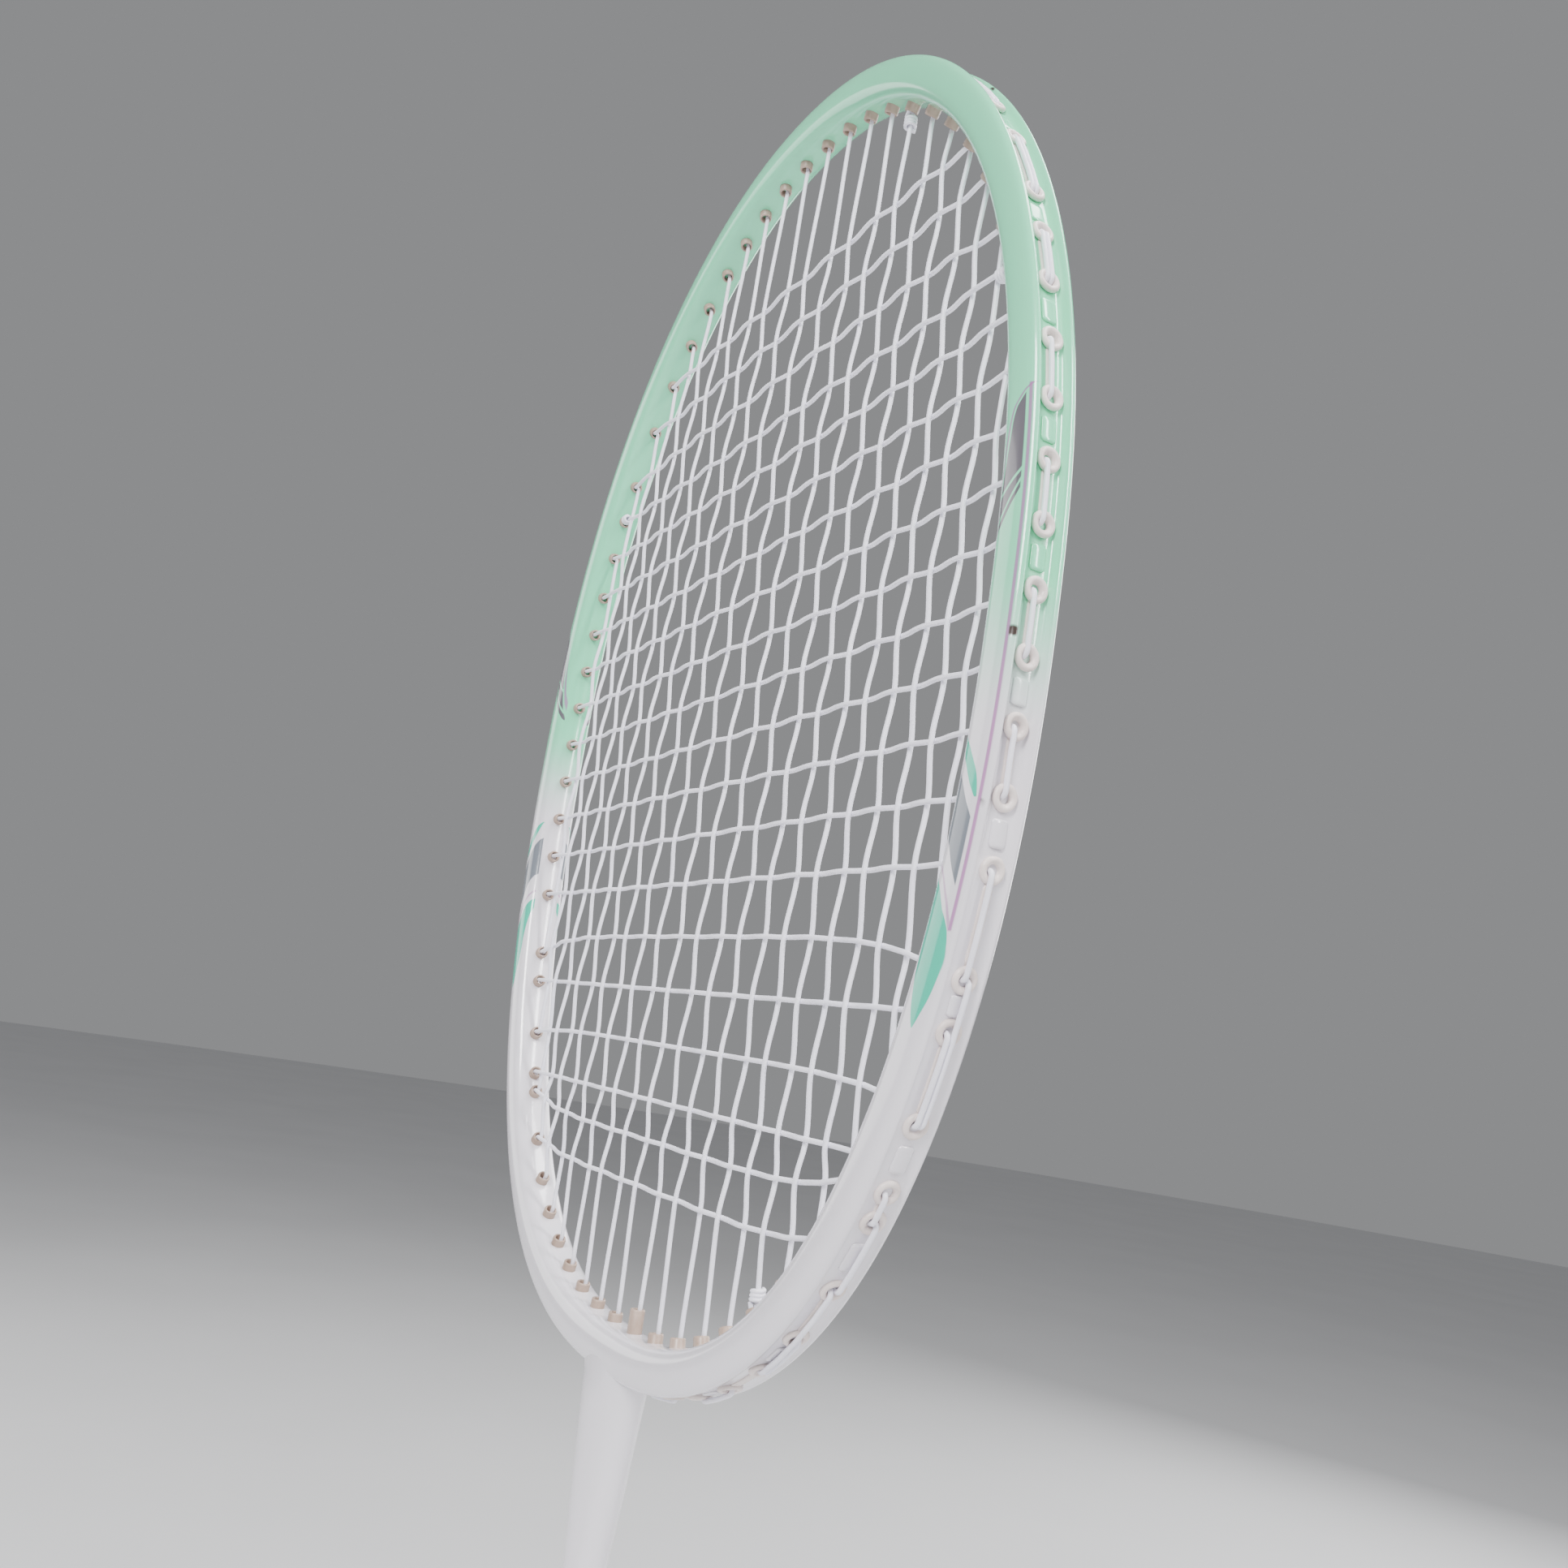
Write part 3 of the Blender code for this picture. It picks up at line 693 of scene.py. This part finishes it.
def meets(main, cross):
    """Whether two strings cross inside the bed, clear of the holes at their ends."""
    x, z = main_x(main), cross_z(cross)
    tip = holes["right", cross]["tip"]
    low, high = holes["foot", main]["tip"].z, holes["top", main]["tip"].z
    return abs(x) < abs(tip.x) - 4 * MM and low + 1.5 * MM < z < high - 1.5 * MM


def crossing_point(main, cross):
    """Where two strings cross; a cross that shares a main's hole curves up or down to it."""
    tip = holes["right", cross]["tip"]
    share = abs(main_x(main) / tip.x) ** 6
    return Vector((main_x(main), 0, cross_z(cross) + (tip.z - cross_z(cross)) * share))


def crossings_of_main(number):
    """Where a main meets the crosses, from top to foot; it is behind where a cross is in front."""
    found = []
    for cross in range(1, CROSS_COUNT + 1):
        if meets(number, cross):
            side = 1 if (number + cross) % 2 == 0 else -1
            found.append((crossing_point(number, cross), side))
    return found


def crossings_of_cross(number):
    found = []
    for main in range(1, MAIN_COUNT + 1):
        if meets(main, number):
            side = -1 if (number + main) % 2 == 0 else 1
            found.append((crossing_point(main, number), side))
    return found


def string_route(spans, y, tie_in, tie_out):
    """One string from tie-off to tie-off, by spans of (hole in, hole out, crossings)."""
    shift = Vector((0, y, 0))
    path = [at_level(tie_in, TIP_LEVEL - 1.2 * MM) + shift]
    path.append(at_level(tie_in, run_level(tie_in)) + shift)
    previous = tie_in
    for enter, leave, crossings in spans:
        path += run_between(previous, enter, y)
        path.append(at_level(enter, run_level(enter)) + shift)
        inner = at_level(enter, TIP_LEVEL) + shift
        outer = at_level(leave, TIP_LEVEL) + shift
        path += wave(inner, outer, crossings)
        path.append(at_level(leave, run_level(leave)) + shift)
        previous = leave
    path += run_between(previous, tie_out, y)
    path.append(at_level(tie_out, run_level(tie_out)) + shift)
    path.append(at_level(tie_out, TIP_LEVEL - 1.2 * MM) + shift)
    return rounded(path, BEND_RADIUS)


def make_string(name, route, node):
    points, faces = skin(sweep(route, STRING_RADIUS, STRING_SIDES))
    return make_piece(name, points, faces, STRING, [node])


main_spans = []
for number in range(1, MAIN_COUNT + 1):
    span = [holes["top", number], holes["foot", number], crossings_of_main(number)]
    if number % 2 == 0:
        span = [span[1], span[0], span[2][::-1]]
    main_spans.append(span)
main_route = string_route(
    main_spans, BESIDE, holes["left", TIE_CROSS], holes["right", TIE_CROSS]
)
make_string("main_strings", main_route, "main_string")

cross_spans = []
for number in range(1, CROSS_COUNT + 1):
    span = [holes["left", number], holes["right", number], crossings_of_cross(number)]
    if number % 2 == 1:
        span = [span[1], span[0], span[2][::-1]]
    cross_spans.append(span)
cross_route = string_route(
    cross_spans, -BESIDE, holes["top", TIE_MAIN_TOP], holes["foot", TIE_MAIN_FOOT]
)
make_string("cross_strings", cross_route, "cross_string")


# ---------------------------------------------------------------- knots
def make_knot(name, node):
    """Three turns of string with a short tail, at the place of the CAD knot."""
    low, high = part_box(node)
    centre = (low + high) / 2
    size = high - low
    along = Vector((0, 0, 1)) if size.z < size.x else Vector((1, 0, 0))
    side = Vector((0, 1, 0))
    other = along.cross(side)
    path = []
    for step in range(KNOT_TURNS * KNOT_STEPS + 1):
        turn = 2 * math.pi * step / KNOT_STEPS
        rise = (step / (KNOT_TURNS * KNOT_STEPS) - 0.5) * KNOT_HEIGHT
        around = side * math.cos(turn) + other * math.sin(turn)
        path.append(centre + along * rise + around * KNOT_RADIUS)
    last = path[-1]
    path.append(last + side * 0.45 * MM - along * 0.8 * MM + other * 0.5 * MM)
    path.append(last + side * 0.5 * MM - along * 1.9 * MM + other * 0.9 * MM)
    points, faces = skin(sweep(path, KNOT_STRING_RADIUS, 8))
    make_piece(name, points, faces, STRING, [node])


for place in ("main_left", "main_right", "cross_start", "cross_finish"):
    make_knot("tie_" + place, "knot_" + place)


# ---------------------------------------------------------------- grommets
def lathe(hole, profile, sides=20):
    """A closed ring of revolution about a hole's axis, from (radius, level) points."""
    axis = hole["outward"]
    side = Vector((0, 1, 0))
    other = axis.cross(side)
    points = []
    for radius, level in profile:
        for step in range(sides):
            turn = 2 * math.pi * step / sides
            away = side * math.cos(turn) + other * math.sin(turn)
            points.append(at_level(hole, level) + away * radius)
    faces = []
    count = len(profile)
    for row in range(count):
        here, there = row * sides, (row + 1) % count * sides
        for step in range(sides):
            after = (step + 1) % sides
            faces.append((here + step, here + after, there + after, there + step))
    return points, faces


def grommet(hole):
    """A barrel with a rounded ring at its outer end, which sits on the groove's floor."""
    shallow = 1 - (TUBE_HALF - hole["floor"]) / GROOVE_DEPTH
    floor = hole["floor"] + (0.05 - 0.5 * shallow) * MM
    long = hole is holes[LONG_BARREL]
    tip = TIP_LEVEL - (LONG_BARREL_EXTRA if long else 0.0)
    profile = [
        (BARREL_RADIUS, tip + 0.25 * MM),
        (BARREL_RADIUS + 0.05 * MM, floor - 0.3 * MM),
    ]
    if hole in THROAT_HOLES:
        profile.append((BARREL_RADIUS, 0.5 * MM))
        profile[1] = (BARREL_RADIUS, 0.0)
    else:
        middle = RING_RADIUS - RING_HEIGHT * 0.52
        for turn in (-90, -50, -15, 20, 55, 90, 125):
            angle = math.radians(turn)
            height = floor + RING_HEIGHT * (0.5 + 0.5 * math.sin(angle))
            profile.append((middle + RING_HEIGHT * 0.52 * math.cos(angle), height))
    profile += [
        (BORE_RADIUS, profile[-1][1] - 0.35 * MM),
        (BORE_RADIUS, tip + 0.2 * MM),
        (BORE_RADIUS + 0.12 * MM, tip),
        (BARREL_RADIUS - 0.12 * MM, tip),
    ]
    return lathe(hole, profile)


def pad_between(start, finish, half_width, ends, height):
    """Flat strip in the groove between two neighbouring holes, over the share between ends."""
    swing = turn_between(start, finish)
    rings = []
    for step in range(13):
        share = ends[0] + (ends[1] - ends[0]) * step / 12
        angle = start["angle"] + swing * share
        centre, outward = hoop_point(angle), hoop_outward(angle)
        low = groove_floor(centre) - 0.1 * MM
        high = low + height
        half = half_width * (0.72 if step in (0, 12) else 1.0)
        section = ((low, -half), (high - 0.12 * MM, -half), (high, -half * 0.8))
        section += tuple((level, -y) for level, y in reversed(section))
        rings.append([centre + outward * level + Vector((0, y, 0)) for level, y in section])
    return skin(rings)


for pair in range(len(hole_ring) // 2):
    start, finish = hole_ring[2 * pair], hole_ring[2 * pair + 1]
    parts = [grommet(start), grommet(finish)]
    if start not in THROAT_HOLES and finish not in THROAT_HOLES:
        parts.append(pad_between(start, finish, 0.8 * MM, (0.12, 0.88), 0.35 * MM))
    points, faces = join_parts(parts)
    node = f"grommet_strip_{pair + 1:02d}"
    strip = make_piece(f"grommets_{pair + 1:02d}", points, faces, NYLON, [node])
    levels = []
    for point in points:
        near = min((start, finish), key=lambda hole: (hole["tip"] - point).length)
        levels.append((point - near["tip"]).dot(near["outward"]) + TIP_LEVEL)
    set_attribute(strip, "level", levels)


def make_groove_pads():
    """Low lacquered pads of the groove's floor, one between each two grommet strips."""
    pads = []
    for pair in range(len(hole_ring) // 2):
        start, finish = hole_ring[2 * pair - 1], hole_ring[2 * pair]
        if start in THROAT_HOLES or finish in THROAT_HOLES:
            continue
        pads.append(pad_between(start, finish, 1.35 * MM, (0.3, 0.7), 0.4 * MM))
    points, faces = join_parts(pads)
    piece = make_piece("groove_pads", points, faces, LACQUER, ())
    set_attribute(piece, "level", [0.0] * len(points))


make_groove_pads()


# ---------------------------------------------------------------- shaft, cone, handle
def white_lacquer():
    """White lacquer that turns mint just above the cone, as the head does at its tip."""
    n = Nodes("shaft_lacquer")
    _, _, z = n.place()
    colour = n.mix(n.ramp(z, 262.0, 236.0, smooth=True), WHITE, MINT)
    ring = n.both(n.above(z, 240.0, 0.2), n.below(z, 241.2, 0.2))
    colour = n.mix(ring, colour, SILVER)
    n.set(Base_Color=colour, Roughness=n.ramp(n.noise(700.0), 0.3, 0.7, 0.12, 0.2))
    n.set(Coat_Weight=0.6, Coat_Roughness=0.06)
    n.bump(n.noise(220.0), 0.00004, 0.35)
    return n.material


def grip_tape_material():
    """Soft polyurethane tape: perforated dots, a fine grain and painted shade along the step at
    each wrap's edge.
    """
    n = Nodes("grip_tape")
    overlap = n.attribute("overlap")
    x, y, z = n.place()
    around = n.maths("ARCTAN2", y, x)
    columns = n.maths("MULTIPLY", around, 30 / (2 * math.pi))
    rows = n.maths("DIVIDE", z, 3.0)
    row = n.maths("FLOOR", rows)
    columns = n.maths("ADD", columns, n.maths("MULTIPLY", row, 0.5))
    dx = n.maths("SUBTRACT", n.maths("FRACT", columns), 0.5)
    dz = n.maths("SUBTRACT", n.maths("FRACT", rows), 0.5)
    squares = n.maths("ADD", n.maths("MULTIPLY", dx, dx), n.maths("MULTIPLY", dz, dz))
    dots = n.below(n.maths("SQRT", squares), 0.16, 0.06)
    drift = n.ramp(n.noise(60.0, detail=5.0), 0.3, 0.7)
    colour = n.mix(drift, (0.74, 0.74, 0.76, 1), (0.62, 0.62, 0.63, 1))
    colour = n.mix(n.maths("MULTIPLY", dots, 0.65), colour, (0.22, 0.22, 0.23, 1))
    # Painted shade: a darker band along the step at the edge of each wrap.
    colour = n.mix(n.maths("MULTIPLY", overlap, 0.35), colour, (0.36, 0.34, 0.32, 1))
    n.set(Base_Color=colour, Roughness=n.ramp(n.noise(400.0), 0.3, 0.7, 0.62, 0.8))
    grain = n.maths("MULTIPLY", n.noise(1400.0, detail=4.0), 0.35)
    n.bump(n.maths("SUBTRACT", grain, dots), 0.00018, 0.7)
    return n.material


SHAFT_PAINT = white_lacquer()
CONE_PLASTIC = simple_material(
    "cone_plastic", (0.74, 0.75, 0.80, 1), (0.67, 0.68, 0.73, 1), 0.26, 80.0, 0.00003
)
CAP_PLASTIC = simple_material(
    "cap_plastic", (0.70, 0.71, 0.76, 1), (0.60, 0.61, 0.66, 1), 0.34, 110.0, 0.00005
)
BAND_VINYL = simple_material(
    "band_vinyl", (0.26, 0.62, 0.50, 1), (0.22, 0.55, 0.44, 1), 0.33, 120.0, 0.00003
)
WOOD = simple_material(
    "handle_wood", (0.52, 0.36, 0.20, 1), (0.36, 0.23, 0.12, 1), 0.6, 200.0, 0.0001
)


def turned(name, profile, material, nodes, sides=96):
    """A closed piece round the racket's axis, from (radius, height) points in millimetres."""
    rings = []
    for radius, height in profile:
        rings.append(ellipse_ring(height * MM, radius * MM, radius * MM, sides))
    points, faces = skin(rings)
    return make_piece(name, points, faces, material, nodes)


shaft_foot = SHAFT_LOW.z / MM
shaft_top = SHAFT_HIGH.z / MM + 0.12
turned(
    "shaft_tube",
    [(3.2, shaft_foot), (3.54, shaft_foot + 0.4), (3.54, 300), (3.54, shaft_top)],
    SHAFT_PAINT,
    ["shaft"],
)

cone_foot, cone_top = CONE_LOW.z / MM, CONE_HIGH.z / MM
cone_profile = [(8.6, cone_foot), (10.2, cone_foot + 0.1), (10.5, cone_foot + 0.8)]
for step in range(7):
    share = step / 6
    height = cone_foot + 4 + 26 * share
    radius = 10.35 - 3.0 * smooth_step(share, 0, 1)
    cone_profile += [(radius, height), (radius - 0.02, height + 2.3)]
    cone_profile += [(radius - 0.45, height + 2.6), (radius - 0.45, height + 3.2)]
cone_profile += [(6.6, cone_foot + 37), (5.7, cone_foot + 43), (5.1, cone_top - 1.6)]
cone_profile += [(4.9, cone_top - 0.4), (4.5, cone_top), (3.7, cone_top), (3.62, cone_top - 1)]
turned("cone_cover", cone_profile, CONE_PLASTIC, ["shaft_cone"])

def octagon_radius(turn, softness):
    """Radius of a rounded octagon of unit half-width, towards one direction."""
    total = 0.0
    for face in range(8):
        facing = math.cos(turn - face * math.pi / 4)
        if facing > 0:
            total += facing**softness
    return total ** (-1 / softness)


def handle_ring(height, width, depth, offset=None, softness=OCTAGON_SOFTNESS):
    """Outline of the handle at a height, with an optional extra reach by direction."""
    ring = []
    for side in range(HANDLE_SIDES):
        turn = 2 * math.pi * side / HANDLE_SIDES
        reach = octagon_radius(turn, softness)
        away = Vector((math.cos(turn), math.sin(turn), 0))
        more = offset(turn) if offset else 0.0
        flat = Vector((away.x * width / 2, away.y * depth / 2, 0)) * reach
        ring.append(flat + away * more + Vector((0, 0, height)))
    return ring


def tape_phase(turn, height):
    return ((height - GRIP_LOW.z) / TAPE_PITCH - turn / (2 * math.pi)) % 1.0


def tape_height(turn, height):
    """Height of the wound tape above its thin place: full on the overlap, then a sharp edge."""
    phase = tape_phase(turn, height)
    rise = smooth_step(phase, 0.0, 0.12)
    fall = 1 - smooth_step(phase, OVERLAP_SHARE + 0.08, OVERLAP_SHARE + 0.10)
    return OVERLAP_HEIGHT * rise * fall


def make_grip():
    rings, tape_step_shade = [], []
    span = GRIP_HIGH - GRIP_LOW
    for row in range(GRIP_ROWS + 1):
        height = GRIP_LOW.z + span.z * row / GRIP_ROWS
        share = row / GRIP_ROWS
        flare = 1 - smooth_step(share, 0.0, 0.09)
        taper = smooth_step(share, 0.82, 1.0)
        width = span.x - 2.6 * MM + 1.4 * MM * flare - 1.0 * MM * taper
        depth = span.y - 2.6 * MM + 1.4 * MM * flare - 1.0 * MM * taper
        rings.append(handle_ring(height, width, depth, lambda turn: tape_height(turn, height)))
        # Marks the narrow band at each wrap's step edge, where the tape's material paints shade.
        for side in range(HANDLE_SIDES):
            phase = tape_phase(2 * math.pi * side / HANDLE_SIDES, height)
            tape_step_shade.append(1.0 if OVERLAP_SHARE + 0.06 < phase < OVERLAP_SHARE + 0.12 else 0.0)
    points, faces = skin(rings)
    tape = grip_tape_material()
    grip = make_piece("grip_cover", points, faces, tape, ["grip_wrap"])
    set_attribute(grip, "overlap", tape_step_shade)


make_grip()


def make_band():
    rings = []
    span = BAND_HIGH - BAND_LOW
    ends = ((0, 1.0), (0.0, 0.1), (0.05, 0.0), (0.5, 0.0), (0.95, 0.0), (1.0, 0.2), (1.0, 1.2))
    for share, shrink in ends:
        height = BAND_LOW.z + span.z * share
        wide = span.x - 2 * shrink * MM
        deep = span.y - 2 * shrink * MM
        rings.append(handle_ring(height, wide, deep))
    points, faces = skin(rings)
    make_piece("band_cover", points, faces, BAND_VINYL, ["finishing_band"])


make_band()


def make_cap():
    """Moulded butt cap with a bevelled foot, a raised rim and a shallow ring round its end."""
    rings = []
    sections = (
        (0.0, 0.56),
        (0.0, 0.88),
        (0.4, 0.92),
        (1.6, 0.965),
        (3.0, 0.995),
        (6.0, 1.0),
        (6.4, 0.985),
        (7.0, 0.985),
        (7.4, 1.0),
        (9.6, 1.0),
        (11.2, 0.985),
        (12.0, 0.96),
    )
    for height, share in sections:
        width, depth = CAP_HIGH.x * 2 * share, CAP_HIGH.y * 2 * share
        rings.append(handle_ring(height * MM, width, depth, softness=CAP_SOFTNESS))
    points, faces = skin(rings)
    make_piece("butt_cap_cover", points, faces, CAP_PLASTIC, ["butt_cap"])


make_cap()

for name, material in (("throat_pin", CARBON), ("handle_core", WOOD)):
    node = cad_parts[name]
    node.data.materials.clear()
    node.data.materials.append(material)


# ---------------------------------------------------------------- floor, light, camera
def floor_material():
    n = Nodes("floor_paper")
    drift = n.ramp(n.noise(3.0), 0.3, 0.7)
    n.set(Base_Color=n.mix(drift, (0.74, 0.74, 0.75, 1), (0.71, 0.71, 0.72, 1)))
    n.set(Roughness=n.ramp(n.noise(40.0), 0.3, 0.7, 0.8, 0.9))
    return n.material


FLOOR_RADIUS = 9.0
floor_mesh = bpy.data.meshes.new("floor")
floor_points = []
for step in range(64):
    turn = 2 * math.pi * step / 64
    floor_points.append((FLOOR_RADIUS * math.cos(turn), FLOOR_RADIUS * math.sin(turn), 0))
floor_mesh.from_pydata(floor_points, [], [tuple(range(64))])
floor_mesh.materials.append(floor_material())
floor = bpy.data.objects.new("floor", floor_mesh)
bpy.context.scene.collection.objects.link(floor)

world = bpy.data.worlds.new("studio")
world.use_nodes = True
world.node_tree.nodes["Background"].inputs["Color"].default_value = (0.80, 0.81, 0.83, 1)
world.node_tree.nodes["Background"].inputs["Strength"].default_value = 0.34
bpy.context.scene.world = world


def area_light(name, place, target, size, power):
    data = bpy.data.lights.new(name, "AREA")
    data.shape = "RECTANGLE"
    data.size, data.size_y = size
    data.energy = power
    light = bpy.data.objects.new(name, data)
    bpy.context.scene.collection.objects.link(light)
    light.location = place
    aim = Vector(target) - Vector(place)
    light.rotation_euler = aim.to_track_quat("-Z", "Y").to_euler()


AIM = (0, 0, 0.5)
area_light("key", (1.1, -1.3, 1.6), AIM, (0.5, 0.9), 60)
area_light("streak", (0.9, 0.5, 1.3), AIM, (0.12, 1.2), 16)
area_light("fill", (-1.6, -1.1, 0.9), AIM, (1.2, 1.2), 12)
area_light("top", (0.3, 0.4, 2.0), AIM, (1.2, 0.5), 30)
area_light("back", (-0.8, 1.7, 1.1), AIM, (1.2, 1.2), 24)

camera_data = bpy.data.cameras.new("camera")
camera_data.sensor_width = 36
camera_data.lens = 32.013
camera_data.clip_start = 0.01
camera = bpy.data.objects.new("camera", camera_data)
bpy.context.scene.collection.objects.link(camera)
RIGHT = Vector((0.48668, 0.86053, 0.15046))
UP = Vector((0.09465, -0.22316, 0.97018))
camera.matrix_world = Matrix.Translation((0.24675, -0.11458, 0.47549)) @ Matrix(
    (RIGHT, UP, RIGHT.cross(UP))
).transposed().to_4x4()
bpy.context.scene.camera = camera
